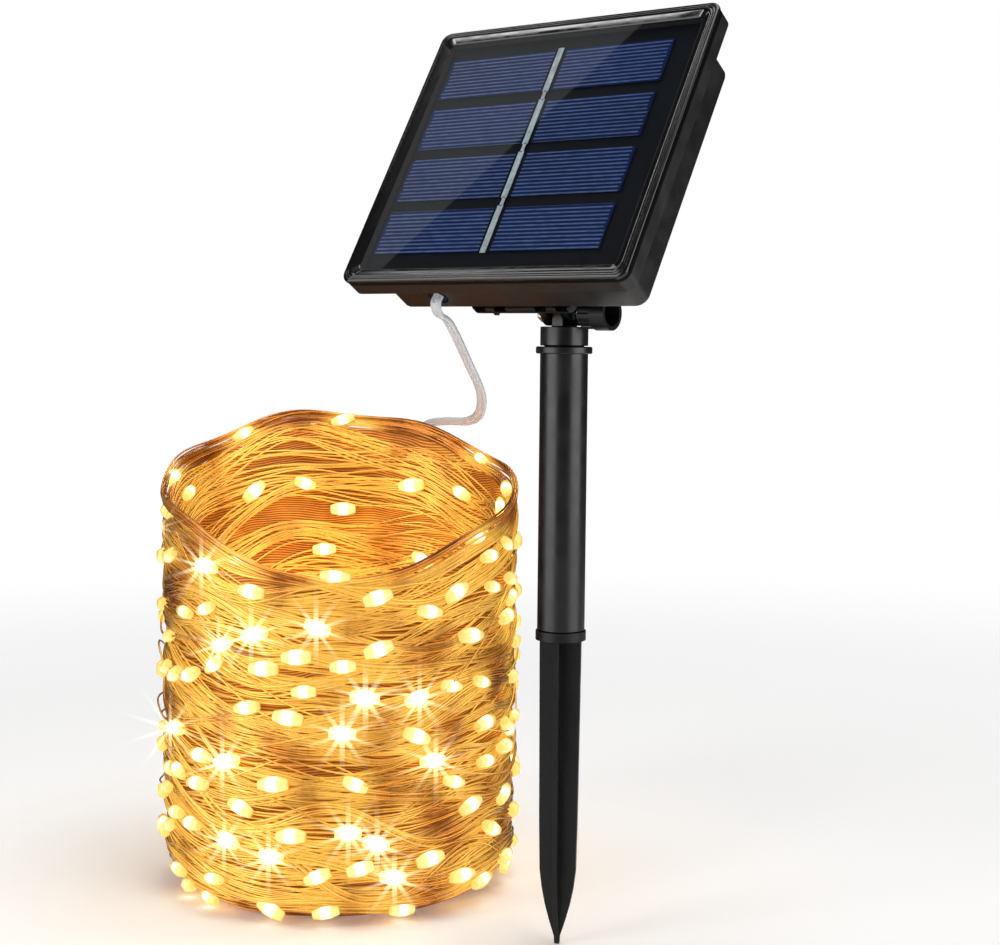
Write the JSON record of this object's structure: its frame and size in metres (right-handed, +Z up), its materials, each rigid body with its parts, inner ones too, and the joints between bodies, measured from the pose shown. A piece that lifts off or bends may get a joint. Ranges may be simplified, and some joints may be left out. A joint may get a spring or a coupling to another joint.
{
  "type": "solar string lights",
  "caption": "Solar garden lights: a square tilting solar head with a battery housing on a tube and finned ground spike, wired to a coil of copper-wire LED lights.",
  "frame": {"origin": "tip of the ground spike, on the pole's axis, at the level of the coil's base", "axes": "+Z up along the pole; +X along the tilt hinge, towards the thumb knob; -Y the way the solar panel faces at rest"},
  "size_m": [0.2538, 0.155, 0.3403],
  "materials": {
    "spike_black": "satin moulded plastic",
    "pole_black": "smooth semi-gloss",
    "housing_black": "fine-grained satin",
    "gloss_black": "polished",
    "panel_glass": "polished",
    "cell_blue": "crystalline",
    "silver": "tinned",
    "steel": "zinc plated",
    "brass": "machined",
    "black_rubber": "matt",
    "battery_wrap": "shrink sleeve",
    "board_green": "solder mask",
    "chip_black": "moulded",
    "button_grey": "soft touch",
    "clear_pvc": "clear, flexible",
    "splice_clear": "moulded clear sleeve",
    "copper_wire": "enamelled copper",
    "led_warm": "clear drop lit warm white, emissive"
  },
  "bodies": {
    "stake": {"ground_spike": "spike_black", "pole_tube": "pole_black", "tube_collar": "pole_black", "lead_lower": "clear_pvc", "string_splice": "splice_clear", "copper_winding": "copper_wire", "led_string": "led_warm"},
    "swivel": {"swivel_neck": "pole_black", "lead_middle": "clear_pvc"},
    "panel": {"mounting_bracket": "spike_black", "hinge_bolt": "steel", "hinge_washer": "steel", "bracket_screw_1": "steel", "bracket_screw_2": "steel", "front_bezel": "gloss_black", "cover_glass": "panel_glass", "seal_gasket": "black_rubber", "cell_tray": "spike_black", "rear_housing": "housing_black", "battery_door": "housing_black", "battery_cell": "battery_wrap", "battery_spring": "steel", "battery_contact": "steel", "control_board": "board_green", "controller_chip": "chip_black", "inductor": "chip_black", "power_switch": "chip_black", "mode_switch": "chip_black", "cable_grommet": "black_rubber", "bus_ribbon": "silver", "solar_cell_1": "cell_blue", "solar_cell_2": "cell_blue", "solar_cell_3": "cell_blue", "solar_cell_4": "cell_blue", "housing_screw_1": "steel", "housing_screw_2": "steel", "housing_screw_3": "steel", "housing_screw_4": "steel", "door_screw_1": "steel", "door_screw_2": "steel", "lead_upper": "clear_pvc"},
    "knob": {"thumb_knob": "spike_black", "knob_insert": "brass"},
    "power": {"power_button": "button_grey"},
    "mode": {"mode_button": "button_grey"}
  },
  "joints": [
    {"name": "head_swivel", "type": "hinge", "parent": "stake", "child": "swivel", "pos_m": [0, 0, 0.2225], "axis": [0, 0, 1], "range_deg": [-90, 90]},
    {"name": "panel_tilt", "type": "hinge", "parent": "swivel", "child": "panel", "pos_m": [0, 0, 0.2344], "axis": [-1, 0, 0], "range_deg": [-32, 58]},
    {"name": "knob_turn", "type": "hinge", "parent": "panel", "child": "knob", "pos_m": [0.015, 0, 0.2344], "axis": [1, 0, 0], "range_deg": [0, 360]},
    {"name": "power_press", "type": "slide", "parent": "panel", "child": "power", "axis": [0, -0.848, 0.5299], "range_m": [0, 0.001], "stiffness_N_per_m": 900, "springref_m": -0.0005},
    {"name": "mode_press", "type": "slide", "parent": "panel", "child": "mode", "axis": [0, -0.848, 0.5299], "range_m": [0, 0.001], "stiffness_N_per_m": 900, "springref_m": -0.0005}
  ]
}
